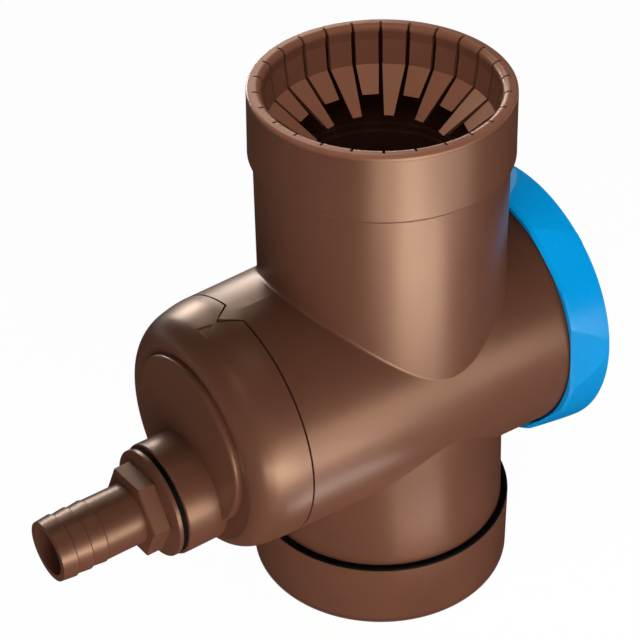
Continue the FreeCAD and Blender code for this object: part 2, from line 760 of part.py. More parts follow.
# One side of the cap is trimmed by three flats that meet at shallow angles.
def facet_cut(name, turn):
    plan = new_sketch(access, name + "_outline", "YZ_Plane", lift="access_skirt_start - 1")
    plan.AttachmentOffset = FreeCAD.Placement(plan.AttachmentOffset.Base, FreeCAD.Rotation(Vector(0, 0, 1), 1))
    plan.setExpression("AttachmentOffset.Rotation.Angle", linked(turn))
    half_flat = (
        "(access_side_apothem - access_flat_apothem * cos(access_facet_step * 1deg))"
        " / sin(access_facet_step * 1deg)"
    )
    reach = "(access_radius + 5)"
    foot = f"(access_side_apothem - {reach} * sin(access_facet_step * 1deg)) / cos(access_facet_step * 1deg)"
    polygon(
        plan,
        ("access_flat_apothem", "-" + half_flat),
        ("access_flat_apothem", half_flat),
        (foot, reach),
        (f"{reach} + 10", reach),
        (f"{reach} + 10", "-" + reach),
        (foot, "-" + reach),
    )
    return raised(access, name, plan, "access_rim - access_skirt_start + 5", "Pocket", backward=True)


facet_cut("lower_flats", "180deg + access_flat_turn * 1deg")
facet_cut("upper_flats", "access_flat_turn * 1deg")
rounded(
    access, "access_back_edge", "access_bevel",
    lambda edge: is_ring(edge, "access_radius", "access_skirt_start"), "Chamfer",
)
bar = new_sketch(access, "grip_outline", "YZ_Plane", lift=seal_end)
bar.AttachmentOffset = FreeCAD.Placement(bar.AttachmentOffset.Base, FreeCAD.Rotation(Vector(0, 0, 1), 1))
bar.setExpression("AttachmentOffset.Rotation.Angle", linked("180deg - access_grip_turn * 1deg"))
polygon(
    bar,
    ("-access_mouth_radius", "-access_grip_width / 2"),
    ("access_mouth_radius", "-access_grip_width / 2"),
    ("access_mouth_radius", "access_grip_width / 2"),
    ("-access_mouth_radius", "access_grip_width / 2"),
)
raised(access, "grip", bar, f"access_rim + access_grip_proud - ({seal_end})")

access_seal = new_body("access_cap_seal", "chamber_height")
face = new_sketch(access_seal, "access_seal_outline", "YZ_Plane", lift="chamber_mouth")
circle(face, "access_seal_radius")
circle(face, "neck_radius - wall")
raised(access_seal, "access_seal_ring", face, "access_seal_thickness")

doc.recompute()
troubled = [item.Label for item in doc.Objects if {"Invalid", "Error"} & set(item.State)]
if troubled:
    raise RuntimeError("these objects failed: " + ", ".join(troubled))
for item in doc.Objects:
    base = getattr(item, "BaseFeature", None)
    cutting = item.TypeId.split("::")[-1] in ("Pocket", "Groove", "SubtractiveLoft")
    if cutting and base and base.Shape.Volume - item.Shape.Volume < 1:
        raise RuntimeError(item.Label + " cuts nothing")

pieces = [item for item in doc.Objects if item.TypeId in ("PartDesign::Body", "Part::Torus")]
for piece in pieces:
    if piece.Shape.isNull() or not piece.Shape.isValid() or len(piece.Shape.Solids) != 1:
        raise RuntimeError(piece.Label + " is not one valid solid")
for piece in pieces:
    piece.Shape.exportStep(f"parts/{piece.Label}.step")
    print(piece.Label, round(piece.Shape.Volume), piece.Shape.BoundBox)
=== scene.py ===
import bpy
import bmesh
import json
import math
import numpy as np
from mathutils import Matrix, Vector


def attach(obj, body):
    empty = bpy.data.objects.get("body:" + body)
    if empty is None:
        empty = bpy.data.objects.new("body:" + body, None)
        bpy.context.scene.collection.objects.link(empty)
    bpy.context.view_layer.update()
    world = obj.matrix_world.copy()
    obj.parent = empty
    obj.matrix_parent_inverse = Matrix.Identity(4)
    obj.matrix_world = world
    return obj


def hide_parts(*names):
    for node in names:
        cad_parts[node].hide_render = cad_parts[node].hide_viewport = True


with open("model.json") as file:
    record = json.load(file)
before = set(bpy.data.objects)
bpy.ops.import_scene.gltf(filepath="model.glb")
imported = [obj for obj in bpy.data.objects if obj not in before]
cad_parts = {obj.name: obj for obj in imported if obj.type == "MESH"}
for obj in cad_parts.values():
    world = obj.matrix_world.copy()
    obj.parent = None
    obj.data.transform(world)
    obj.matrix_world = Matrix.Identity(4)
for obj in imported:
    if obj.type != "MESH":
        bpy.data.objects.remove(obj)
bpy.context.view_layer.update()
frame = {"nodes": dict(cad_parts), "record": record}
nodes = frame["nodes"]
record = frame["record"]
mounts = {mount["name"]: mount for mount in record["mounts"]}
capTurn = next(joint for joint in record["behaviour"]["joints"] if joint["name"] == "cap_turn")
print("solids loaded:", len(nodes))


# A number or colour that a shader node gives, with the operators that build more nodes
class Signal:
    def __init__(self, tree, socket):
        self.tree = tree
        self.socket = socket

    def math(self, operation, *others, clamp=False):
        settings = {"operation": operation, "use_clamp": clamp}
        return self.tree.node("ShaderNodeMath", settings, [self, *others])

    def __add__(self, other):
        return self.math("ADD", other)

    __radd__ = __add__

    def __mul__(self, other):
        return self.math("MULTIPLY", other)

    __rmul__ = __mul__

    def __sub__(self, other):
        return self.math("SUBTRACT", other)

    def __rsub__(self, other):
        return self.tree.node("ShaderNodeMath", {"operation": "SUBTRACT"}, [other, self])

    def between(self, low, high):
        # 0 below low, 1 above high, straight in between
        return ((self - low) * (1 / (high - low))).math("ADD", 0.0, clamp=True)


class ShaderTree:
    def __init__(self, material):
        material.use_nodes = True
        self.tree = material.node_tree
        self.tree.nodes.clear()

    def node(self, kind, settings=None, inputs=(), out=0):
        # settings are set first, then the sockets, by place or by name
        made = self.tree.nodes.new(kind)
        for name, value in (settings or {}).items():
            setattr(made, name, value)
        pairs = inputs.items() if isinstance(inputs, dict) else enumerate(inputs)
        for name, value in pairs:
            if isinstance(value, Signal):
                self.tree.links.new(value.socket, made.inputs[name])
            elif value is not None:
                made.inputs[name].default_value = value
        return Signal(self, made.outputs[out]) if made.outputs else None

    def noise(self, size, detail, rough):
        place = self.node("ShaderNodeTexCoord", out="Object")
        inputs = {"Vector": place, "Scale": 1 / size, "Detail": detail, "Roughness": rough}
        return self.node("ShaderNodeTexNoise", {}, inputs, out="Fac")

    def mix(self, amount, first, second):
        # 0, 6 and 7 are the factor and the two colours, and 2 is the colour that comes out
        return self.node("ShaderNodeMix", {"data_type": "RGBA"}, {0: amount, 6: first, 7: second}, out=2)

    def bump(self, height, distance, normal=None):
        return self.node("ShaderNodeBump", {}, {"Height": height, "Distance": distance, "Normal": normal})

    def plastic(self, **sockets):
        named = {name.replace("_", " "): value for name, value in sockets.items()}
        self.show(self.node("ShaderNodeBsdfPrincipled", {}, named))

    def show(self, shader):
        self.node("ShaderNodeOutputMaterial", {}, {"Surface": shader})


def newMaterial(name):
    material = bpy.data.materials.new(name)
    return material, ShaderTree(material)


def colour(red, green, blue):
    # screen values from 0 to 255 as the shader's linear ones: a power of 2.4, and straight near black
    parts = [value / 255 for value in (red, green, blue)]
    linear = [((part + 0.055) / 1.055) ** 2.4 if part > 0.04045 else part / 12.92 for part in parts]
    return (*linear, 1)


brownLook = {
    "tone": colour(125, 79, 60),
    "deepTone": colour(118, 74, 56),
    "roughness": 0.33,
    "shine": 0.25,
    "shineTint": (1.0, 0.68, 0.42, 1),  # the coppery cast of the highlights
}
blueLook = {
    "tone": colour(0, 158, 228),
    "deepTone": colour(0, 150, 222),
    "roughness": 0.28,
    "shine": 0.1,
    "shineTint": (1, 1, 1, 1),
}
# Noises are given as size in metres, detail and roughness
mouldLook = {
    "cloud": (0.035, 3.0, 0.55),
    "cloudEdges": (0.3, 0.7),
    "wear": (0.012, 3.0, 0.6),
    "wearSpread": 0.05,
    "grain": (0.0009, 2.0, 0.6),
    "grainDepth": 0.000012,
    "waves": (0.02, 1.0, 0.4),
    "wavesDepth": 0.00012,
}


# Moulded plastic: a faint cloud of tone, patchy wear of the gloss, and the mould's fine spark-etched grain
# over slow waves left by cooling
def mouldedPlastic(name, look):
    material, tree = newMaterial(name)
    mould = mouldLook
    cloud = tree.noise(*mould["cloud"]).between(*mould["cloudEdges"])
    waves = tree.bump(tree.noise(*mould["waves"]), mould["wavesDepth"])
    tree.plastic(
        Base_Color=tree.mix(cloud, look["deepTone"], look["tone"]),
        Roughness=look["roughness"] + mould["wearSpread"] * (tree.noise(*mould["wear"]) - 0.5),
        Normal=tree.bump(tree.noise(*mould["grain"]), mould["grainDepth"], waves),
        Specular_IOR_Level=look["shine"],
        Specular_Tint=look["shineTint"],
    )
    return material


rubberLook = {
    # near black, so that the gasket's band also reads as the shade under the hose tail's flange: partly
    # painted shade
    "tone": colour(7, 6, 6),
    "dustTone": colour(13, 12, 12),
    "dust": (0.006, 4.0, 0.65),
    "dustEdges": (0.35, 0.75),
    "roughness": 0.7,
    "dustRoughness": 0.15,
    "grain": (0.0007, 3.0, 0.6),
    "grainDepth": 0.00003,
    "shine": 0.03,
}


# Black rubber: dust pales its tone and dulls its gloss, over a fine grain
def blackRubber():
    material, tree = newMaterial("blackRubber")
    look = rubberLook
    dust = tree.noise(*look["dust"])
    tree.plastic(
        Base_Color=tree.mix(dust.between(*look["dustEdges"]), look["tone"], look["dustTone"]),
        Roughness=look["roughness"] + look["dustRoughness"] * dust,
        Normal=tree.bump(tree.noise(*look["grain"]), look["grainDepth"]),
        Specular_IOR_Level=look["shine"],
    )
    return material


finishOf = {
    "brown_plastic": mouldedPlastic("brownPlastic", brownLook),
    "blue_plastic": mouldedPlastic("bluePlastic", blueLook),
    "black_rubber": blackRubber(),
}
print("finishes made:", len(finishOf))

for part in record["subparts"]:
    for place in nodes[part["node"]].material_slots:
        place.material = finishOf[part["material_slot"]]
print("solids dressed")


# A closed skin. Each ring is (along, radius, lift): its places along the axis, its radii and its lifts, each
# for all angles at once. Across the axis a point stands at the radius times the angle's cosine and sine, and
# the lift and the centre's height are added to its height. The rings are joined in their order, and then
# either the last one to the first, or both ends are shut by flat faces.
def skin(rings, angles, centre, upright=False, joined=True):
    along, radius, lift = (np.stack([value + 0 * angles for value in column]) for column in zip(*rings))
    across, up = radius * np.cos(angles), radius * np.sin(angles)
    if upright:
        grid = np.stack([across, up, along + lift + centre], 2)
    else:
        grid = np.stack([along, across, up + lift + centre], 2)
    place = np.arange(radius.size).reshape(radius.shape)
    ends = np.zeros((0, len(angles)), int) if joined else place[[0, -1]]
    if joined:
        place = np.vstack([place, place[:1]])
    beside = np.roll(place, -1, axis=1)
    quads = np.stack([place[:-1], beside[:-1], beside[1:], place[1:]], 2).reshape(-1, 4)
    return grid.reshape(-1, 3) / 1000, quads, ends


# A box between two corners, turned round the chamber's axis: the places across and up are mixed by the turn's
# cosine and sine
def block(low, high, turn, centre):
    along, y, z = np.stack(np.meshgrid(*zip(low, high), indexing="ij")).reshape(3, -1)
    across = y * np.cos(turn) - z * np.sin(turn)
    up = y * np.sin(turn) + z * np.cos(turn) + centre
    quads = np.array([(0, 1, 3, 2), (4, 6, 7, 5), (0, 4, 5, 1), (2, 3, 7, 6), (0, 2, 6, 4), (1, 5, 7, 3)])
    return np.stack([along, across, up], 1) / 1000, quads, np.zeros((0, 4), int)


# One object of several closed skins, which stands for a node and rides with its body. Its faces are made to
# point outwards, and edges that turn by more than the sharp angle stay crisp.
def newPiece(name, skins, node, slot, body, sharp=28):
    faces, count = [], 0
    for places, quads, ends in skins:
        faces += (quads + count).tolist() + (ends + count).tolist()
        count += len(places)
    mesh = bpy.data.meshes.new(name)
    mesh.from_pydata(np.concatenate([places for places, quads, ends in skins]).tolist(), [], faces)
    loose = bmesh.new()
    loose.from_mesh(mesh)
    bmesh.ops.recalc_face_normals(loose, faces=loose.faces)
    loose.to_mesh(mesh)
    loose.free()
    mesh.shade_smooth()
    mesh.set_sharp_from_angle(angle=math.radians(sharp))
    mesh.materials.append(finishOf[slot])
    piece = bpy.data.objects.new(name, mesh)
    bpy.context.scene.collection.objects.link(piece)
    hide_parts(node)
    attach(piece, body)
    print("piece shaped:", name)
    return piece


# Rings of a rounded edge about a middle: its place along the axis plus the reach times the turn's sine, and
# its radius plus the reach times the turn's cosine, with turns in degrees from straight outwards
def arc(along, radius, reach, fromTurn, toTurn, steps=6):
    turns = np.radians(np.linspace(fromTurn, toTurn, steps))
    return list(zip(along + reach * np.sin(turns), radius + reach * np.cos(turns), 0 * turns))


# A smooth line through points: each place is a straight mix of neighbouring points, and the mixes are mixed
# again over wider spans. A span is as long as its chord, and one more point is mirrored past each end.
def smoothLine(points, perSpan):
    padded = np.vstack([2 * points[0] - points[1], points, 2 * points[-1] - points[-2]])
    knots = np.append(0, np.cumsum(np.linalg.norm(np.diff(padded, axis=0), axis=1)))
    spans = len(points) - 1
    first = np.repeat(np.arange(spans), perSpan)
    share = np.tile(np.arange(perSpan) / perSpan, spans)
    way = knots[first + 1] + share * (knots[first + 2] - knots[first + 1])

    def mixed(one, other, start, end):
        part = (way - knots[first + start]) / (knots[first + end] - knots[first + start])
        return one + (other - one) * part[:, None]

    a, b, c, d = (padded[first + step] for step in range(4))
    early = mixed(mixed(a, b, 0, 1), mixed(b, c, 1, 2), 0, 2)
    late = mixed(mixed(b, c, 1, 2), mixed(c, d, 2, 3), 1, 3)
    return np.vstack([mixed(early, late, 1, 2), points[-1]])


roundDegrees = np.arange(0, 360, 1.5)
roundAngles = np.radians(roundDegrees)

# Sizes are in millimetres. Those along the chamber are measured from the upright pipe's axis, and a "way" is
# measured from the seam towards the hose tail.
chamber = {"height": capTurn["pos_m"][2] * 1000, "seam": 77.1, "seamRadius": 56.15}

domeShell = {
    "seamGap": 0.9, "sideLength": 10.3, "sideFall": 0.85, "front": 103.4,
    "radius": 55.0, "roundAcross": 12.0, "lean": 3.3,  # the dome's ellipse, and how far its front leans down
    "profileTurns": (15, 30, 45, 60, 75, 90), "perSpan": 12,  # the outline's points, in degrees and a span
    "browRadius": 45.0, "footRadius": 39.2, "coveDepth": 1.2,  # the cove between the dome's brow and the disc
    "discFront": 105.6, "discRadius": 38.9, "discRound": 1.6,
    "sleeveRadius": 52.6, "sleeveLength": 11.1, "sleeveBore": 49.8, "wall": 3.2,
    "kneeLength": 8.0, "kneeFall": 2.5, "floorFall": 10.0,  # how the hollow narrows towards its floor
    "tabHalfWidth": 6.4, "tabLength": 8.5, "tabPlay": 1.3,
    "arrowStart": 11.2, "arrowEnd": 17.2, "arrowHalfWidth": 4.0, "arrowDepth": 0.6, "arrowBevel": 0.35,
    "ringsBefore": 0.5, "ringsAfter": 0.6, "frontAfter": 1.0,  # close rings reach this far past the arrow
    "ringStep": 0.3, "sideRings": 10,
    "topArc": (80, 100), "topStep": 0.25, "step": 1.5,  # degrees round the cap, finer at the notch and arrow
    "bossFront": 121.6, "bossRoot": 98.0, "bossRadius": 26.0, "bossBore": 16.7, "bossRound": 0.9,
    "bossHeight": mounts["hose_bore"]["pos_m"][2] * 1000,
}


# The cap's outer outline as (way, radius): a side whose radius falls with the square of its share, and then a
# quarter of an ellipse, whose way grows with the turn's sine and whose radius falls by one less the cosine
def domeProfile():
    size = domeShell
    share = np.array([0, 0.5, 1])
    side = np.column_stack([size["sideLength"] * share, chamber["seamRadius"] - size["sideFall"] * share**2])
    turns = np.radians(size["profileTurns"])
    reach = size["front"] - chamber["seam"] - size["sideLength"]
    way = size["sideLength"] + reach * np.sin(turns)
    radius = size["radius"] - size["roundAcross"] * (1 - np.cos(turns))
    return smoothLine(np.vstack([side, np.column_stack([way, radius])]), size["perSpan"])


# How deep the small engraved arrow is: the distance to the nearest side of a triangle that points back to the
# seam, as a share of the bevel and at most one, times the full depth
def arrowCut(way, across):
    size = domeShell
    length = size["arrowEnd"] - size["arrowStart"]
    slant = math.hypot(length, size["arrowHalfWidth"])
    side = ((way - size["arrowStart"]) * size["arrowHalfWidth"] - np.abs(across) * length) / slant
    return size["arrowDepth"] * np.clip(np.minimum(side, size["arrowEnd"] - way) / size["arrowBevel"], 0, 1)


# The end cap: a raised disc, a cove, a dome with a notch for the housing's tab, and a hollow sleeve, with the
# low boss as a second skin. The outline is turned round the axis, and the dome's rings sink with the square
# of their way, so the front leans down. The edge stands back by the seam's gap, or by the notch, whose length
# falls straight with the distance from its middle.
def buildDomeShell():
    size = domeShell
    depth = size["front"] - chamber["seam"]
    profile = domeProfile()
    low, high = size["topArc"]
    degrees = [np.arange(low, high, size["topStep"]), np.arange(high, low + 360, size["step"])]
    angles = np.radians(np.concatenate(degrees))
    top = np.sin(angles) > 0
    share = np.abs(chamber["seamRadius"] * np.cos(angles)) / (size["tabHalfWidth"] + size["tabPlay"])
    notch = (size["tabLength"] + size["tabPlay"]) * (1 - share)
    edge = np.where(top, np.maximum(notch, size["seamGap"]), size["seamGap"])

    def sunk(way):
        return -size["lean"] * (way / depth) ** 2

    def outer(way):
        radius = np.interp(way, profile[:, 0], profile[:, 1])
        cut = np.where(top, arrowCut(way, radius * np.cos(angles)), 0)
        return (-chamber["seam"] - way, radius - cut, sunk(way))

    discEdge = size["discRadius"] - size["discRound"]
    cove = size["coveDepth"] - size["front"]
    rings = [(-size["discFront"], discEdge, 0)]
    rings += arc(size["discRound"] - size["discFront"], discEdge, size["discRound"], -75, 0)
    rings += [(cove, size["discRadius"], 0), (cove, size["footRadius"], 0)]
    front = (profile[:, 0] > size["arrowEnd"] + size["frontAfter"]) & (profile[:, 1] > size["browRadius"])
    way, radius = profile[front][::-1].T
    rings += zip(-chamber["seam"] - way, radius, sunk(way))
    ringsFrom = size["arrowStart"] - size["ringsBefore"]
    ringsTo = size["arrowEnd"] + size["ringsAfter"]
    rings += zip(*outer(np.arange(ringsTo, ringsFrom, -size["ringStep"])[:, None]))
    rings += zip(*outer(edge + (ringsFrom - edge) * np.linspace(1, 0, size["sideRings"])[:, None]))
    inner = size["sleeveLength"] - chamber["seam"]
    knee = -chamber["seam"] - size["sideLength"]
    rings += [(-chamber["seam"] - edge, size["sleeveRadius"], 0), (inner, size["sleeveRadius"], 0)]
    rings += [(inner, size["sleeveBore"], 0), (knee, size["sleeveBore"], 0)]
    rings += [(knee - size["kneeLength"], size["sleeveBore"] - size["kneeFall"], -size["lean"] / 3)]
    rings += [(size["wall"] - size["front"], size["sleeveBore"] - size["floorFall"], -size["lean"])]
    shell = skin(rings, angles, chamber["height"], joined=False)

    bossEdge = size["bossRadius"] - size["bossRound"]
    rings = [(-size["bossFront"], size["bossBore"], 0), (-size["bossFront"], bossEdge, 0)]
    rings += arc(size["bossRound"] - size["bossFront"], bossEdge, size["bossRound"], -75, 0)
    rings += [(-size["bossRoot"], size["bossRadius"], 0), (-size["bossRoot"], size["bossBore"], 0)]
    boss = skin(rings, roundAngles, size["bossHeight"])
    newPiece("domeShell", [shell, boss], "end_cap", "brown_plastic", "diverter", sharp=14)


buildDomeShell()

hoseTail = {
    "mouth": -mounts["hose_bore"]["pos_m"][0] * 1000, "bore": mounts["hose_bore"]["dims"]["r_mm"],
    "height": mounts["hose_bore"]["pos_m"][2] * 1000, "threadEnd": 99.0, "threadRadius": 16.4,
    "flangeBack": 124.1, "flangeThickness": 2.0, "flangeRadius": 25.0, "flangeRound": 0.6,
    "hexBack": 127.6, "hexFront": 135.6, "hexRadius": 20.5, "hexTurn": -4.5, "hexBevel": 0.6,
    "ridge": mounts["hose_barbs"]["dims"]["r_mm"], "shank": 13.95, "valley": 13.7,  # radii along the barbs
    # the gasket's outer radius reaches over the boss's face under the flange, so the black band also stands
    # in for the shade there: partly painted shade
    "ridges": 3, "firstRidge": 154.8, "pitch": 7.2, "land": 0.5, "fall": 0.6, "gasketAndShadeRadius": 24.6,
}


# The hose tail: a thread's core, a flange, a hexagon and a shank with barbs, all rings turned round the bore.
# On the hexagon the radius is the distance of its flats divided by the cosine of the turn from the nearest
# flat's middle. Each barb drops behind its ridge, and the next one rises straight from the valley.
def buildHoseTail():
    size = hoseTail
    flatRadius = size["hexRadius"] * math.cos(math.pi / 6)
    sixSided = flatRadius / np.cos(np.radians(roundDegrees % 60 - 30))
    front = -size["flangeBack"] - size["flangeThickness"]
    edge = size["flangeRadius"] - size["flangeRound"]
    rings = [(-size["threadEnd"], size["bore"], 0), (-size["threadEnd"], size["threadRadius"], 0)]
    rings += [(-size["flangeBack"], size["threadRadius"], 0), (-size["flangeBack"], size["flangeRadius"], 0)]
    rings += arc(front + size["flangeRound"], edge, size["flangeRound"], 0, -90)
    rings += [(-size["hexBack"], flatRadius, 0), (-size["hexBack"], sixSided, 0)]
    rings += [(size["hexBevel"] - size["hexFront"], sixSided, 0)]
    rings += [(-size["hexFront"], sixSided - size["hexBevel"], 0), (-size["hexFront"], size["shank"], 0)]
    foot = size["shank"]
    for count in range(size["ridges"]):
        top = -size["firstRidge"] - count * size["pitch"]
        rings += [(top + size["fall"], foot, 0), (top, size["ridge"], 0)]
        rings += [(top - size["land"], size["ridge"], 0)]
        foot = size["valley"]
    rings += [(-size["mouth"], size["valley"], 0), (-size["mouth"], size["bore"], 0)]
    tail = skin(rings, roundAngles + math.radians(size["hexTurn"]), size["height"])
    newPiece("barbedTail", [tail], "hose_tail", "brown_plastic", "diverter", sharp=12)


# The black ring that the flange presses on the boss: a flat band turned round the bore. It reaches out over
# the boss's face, so it also stands in for the shade under the flange's edge: partly painted shade
def buildTailGasketAndShade():
    inner, outer = domeShell["bossBore"], hoseTail["gasketAndShadeRadius"]
    back, front = -domeShell["bossFront"], -hoseTail["flangeBack"]
    band = skin([(back, inner, 0), (back, outer, 0), (front, outer, 0), (front, inner, 0)], roundAngles,
                hoseTail["height"])
    newPiece("tailGasketAndShade", [band], "hose_tail_gasket", "black_rubber", "diverter")


buildHoseTail()
buildTailGasketAndShade()

collarRing = {
    "radius": 61.3, "height": 33.0, "footRound": 0.6, "lipEdge": 0.25, "lipBore": 60.35, "lipDepth": 7.0,
    "channelBore": 59.0, "web": 4.0, "sleeveRadius": 53.4, "sleeveHeight": 30.0,  # it takes the spigot's foot
    "bore": mounts["outlet"]["dims"]["r_mm"],
    "sealBore": 58.2, "sealRadius": 60.2, "bead": 1.0, "beadRadius": 60.95, "beadRound": 0.8,
}


# The collar round the spigot's foot: an outline with lip, channel and sleeve, turned round the pipe's axis
def buildCollar():
    size = collarRing
    top, ledge = size["height"], size["height"] - size["lipDepth"]
    rings = [(0, size["bore"], 0)]
    rings += arc(size["footRound"], size["radius"] - size["footRound"], size["footRound"], -90, 0)
    rings += [(top - size["lipEdge"], size["radius"], 0), (top, size["radius"] - size["lipEdge"], 0)]
    rings += [(top, size["lipBore"], 0), (ledge, size["lipBore"], 0)]
    rings += [(ledge, size["channelBore"], 0), (size["web"], size["channelBore"], 0)]
    rings += [(size["web"], size["sleeveRadius"], 0), (size["sleeveHeight"], size["sleeveRadius"], 0)]
    rings += [(size["sleeveHeight"], size["bore"], 0)]
    collar = skin(rings, roundAngles, 0, upright=True)
    newPiece("collarRing", [collar], "outlet_collar", "brown_plastic", "diverter")


# The black seal: a leg in the collar's lip and a rounded bead on its rim, turned round the pipe's axis
def buildCollarSeal():
    size = collarRing
    rim, ledge = size["height"], size["height"] - size["lipDepth"]
    top = rim + size["bead"]
    rings = [(ledge, size["sealBore"], 0), (ledge, size["sealRadius"], 0)]
    rings += [(rim, size["sealRadius"], 0), (rim, size["beadRadius"], 0)]
    rings += arc(top - size["beadRound"], size["beadRadius"] - size["beadRound"], size["beadRound"], 0, 90)
    rings += [(top, size["sealBore"], 0)]
    seal = skin(rings, roundAngles, 0, upright=True)
    newPiece("collarSeal", [seal], "outlet_seal", "black_rubber", "diverter")


buildCollar()
buildCollarSeal()

blueCap = {
    "start": 60.5, "rim": 79.75, "backRadius": 65.1, "rimRadius": 66.5, "bevel": 1.2,
    "recessRadius": 63.0, "mouthRadius": 61.9, "mouthDepth": 4.0, "landRadius": 60.56,
    "floorBack": 73.0, "floorFront": 76.0, "degreeStep": 0.5, "skirtRings": 60,
    "flats": 8, "flatRadius": 62.9, "flatDraft": 11.0, "flatTurn": 41.4,  # distance at the start, and degrees
    "gripTurn": 128.5, "gripHalfWidth": 2.5, "gripReach": 65.6, "gripFoot": 75.5, "gripProud": 0.8,
}


# The blue cap: a skirt with sloping flats that run out before the rim, and a recess with one grip bar. The
# skirt's radius is the smaller of two: a cone's, which grows straight from the bevel to the rim, and the
# flats', whose distance grows with the tangent of their draft and is divided by the cosine of the turn from
# the nearest flat's middle.
def buildBlueCap():
    size = blueCap
    degrees = np.arange(0, 360, size["degreeStep"])
    angles = np.radians(degrees)
    pitch = 360 / size["flats"]
    fromMiddle = (degrees - size["flatTurn"] + pitch / 2) % pitch - pitch / 2

    def cut(cone, flat):
        return np.minimum(cone, flat / np.cos(np.radians(fromMiddle)))

    bevelEnd = size["start"] + size["bevel"]
    along = np.linspace(size["rim"], bevelEnd, size["skirtRings"])[:, None]
    share = (along - bevelEnd) / (size["rim"] - bevelEnd)
    cone = size["backRadius"] + (size["rimRadius"] - size["backRadius"]) * share
    flat = size["flatRadius"] + (along - size["start"]) * math.tan(math.radians(size["flatDraft"]))
    back = cut(size["backRadius"] - size["bevel"], size["flatRadius"] - size["bevel"])
    mouthEnd = size["start"] + size["mouthDepth"]
    rings = [(size["floorFront"], size["recessRadius"], 0), (size["rim"], size["recessRadius"], 0)]
    rings += zip(along, cut(cone, flat), 0 * along)
    rings += [(size["start"], back, 0), (size["start"], size["mouthRadius"], 0)]
    rings += [(mouthEnd, size["mouthRadius"], 0), (mouthEnd, size["landRadius"], 0)]
    rings += [(size["floorBack"], size["landRadius"], 0)]
    cup = skin(rings, angles, chamber["height"], joined=False)
    low = (size["gripFoot"], -size["gripReach"], -size["gripHalfWidth"])
    high = (size["rim"] + size["gripProud"], size["gripReach"], size["gripHalfWidth"])
    grip = block(low, high, math.radians(size["gripTurn"]), chamber["height"])
    return newPiece("blueCap", [cup, grip], "access_cap", "blue_plastic", "cap", sharp=4)


blueCapPiece = buildBlueCap()

studio = {
    "lookAt": (0.0, 0.0, 0.12),
    "floorSize": 6.0, "floorLevel": -0.0002, "floorShade": 0.8, "floorShown": 0.8, "floorGlow": 1.2,
    "flagSize": 1.6, "flagLevel": 0.0015, "flagShade": 0.01,
    "bounceSize": 1.2, "bounceLevel": 0.002, "bounceWatts": 2.6,
    "panelDistance": 0.4, "floorPanelLevel": 0.003,
    "airStrength": 0.12, "backTone": (1.0, 0.86, 0.76),
}
# Soft boxes: azimuth, lift and distance from the middle, width, height and watts
softBoxes = {
    "key": (-105, 0, 0.7, 0.4, 0.3, 1.75),
    "side": (-150, 5, 0.7, 0.4, 0.3, 0.3),
    "overhead": (-127, 70, 0.7, 0.4, 0.3, 0.25),
}
# The same, for boxes that are seen in the gloss and add no other light
shineBoxes = {
    "backLow": (64, 8, 0.6, 0.2, 0.16, 1.3),
    "backMiddle": (64, 22, 0.6, 0.2, 0.16, 0.8),
    "backHigh": (64, 40, 0.6, 0.2, 0.16, 0.48),
    "backLeft": (90, 15, 0.6, 0.2, 0.16, 2.3),
    "backLeftHigh": (100, 40, 0.6, 0.2, 0.16, 0.54),
    "leftHigh": (-160, 50, 0.6, 0.2, 0.16, 0.2),
    "frontHigh": (-127, 80, 0.6, 0.2, 0.16, 0.15),
}
# Upright panels for the gloss: azimuth, foot and top height, width and watts
shinePanels = {
    "panelFront": (-105, 0.005, 0.08, 0.14, 1.1),
    "panelLeft": (-125, 0.005, 0.08, 0.14, 0.8),
    "panelRight": (-75, 0.005, 0.08, 0.28, 0.6),
    "panelUpper": (-85, 0.08, 0.16, 0.4, 1.0),
}
# Panels for the gloss that lie on the floor and shine up: azimuth, distance, width, length and watts
floorPanels = {
    "lowFar": (-95, 0.32, 0.225, 0.12, 2.0),
    "lowNear": (-105, 0.21, 0.2, 0.1, 0.12),
    "lowFoot": (-99, 0.122, 0.08, 0.032, 0.063),
}
# Soft boxes that reach one piece only: the blue cap keeps its clear colour, and the fingers stand out
pieceBoxes = {
    "capLight": (-100, 62, 0.7, 0.4, 0.4, 2.6),
    "crownLight": (-127, 68, 0.7, 0.4, 0.4, 3.1),
}


def around(azimuth, lift, distance, middle=studio["lookAt"]):
    # a place on a sphere round the upright axis, in degrees and metres
    turn, rise = math.radians(azimuth), math.radians(lift)
    level = distance * math.cos(rise)
    return (level * math.cos(turn), level * math.sin(turn), middle[2] + distance * math.sin(rise))


def addLamp(name, place, target, width, height, watts, tone=(1, 1, 1)):
    # a flat lamp that faces its target and isn't seen itself
    data = bpy.data.lights.new(name, "AREA")
    data.shape = "RECTANGLE"
    data.size = width
    data.size_y = height
    data.energy = watts
    data.color = tone
    lamp = bpy.data.objects.new(name, data)
    bpy.context.scene.collection.objects.link(lamp)
    lamp.location = place
    lamp.rotation_euler = (Vector(target) - Vector(place)).to_track_quat("-Z", "Y").to_euler()
    lamp.visible_camera = False
    return lamp


def softLamp(*settings):
    # light without a shine
    lamp = addLamp(*settings)
    lamp.visible_glossy = False
    return lamp


def shineLamp(*settings):
    # a shine without other light
    lamp = addLamp(*settings)
    lamp.visible_diffuse = False
    return lamp


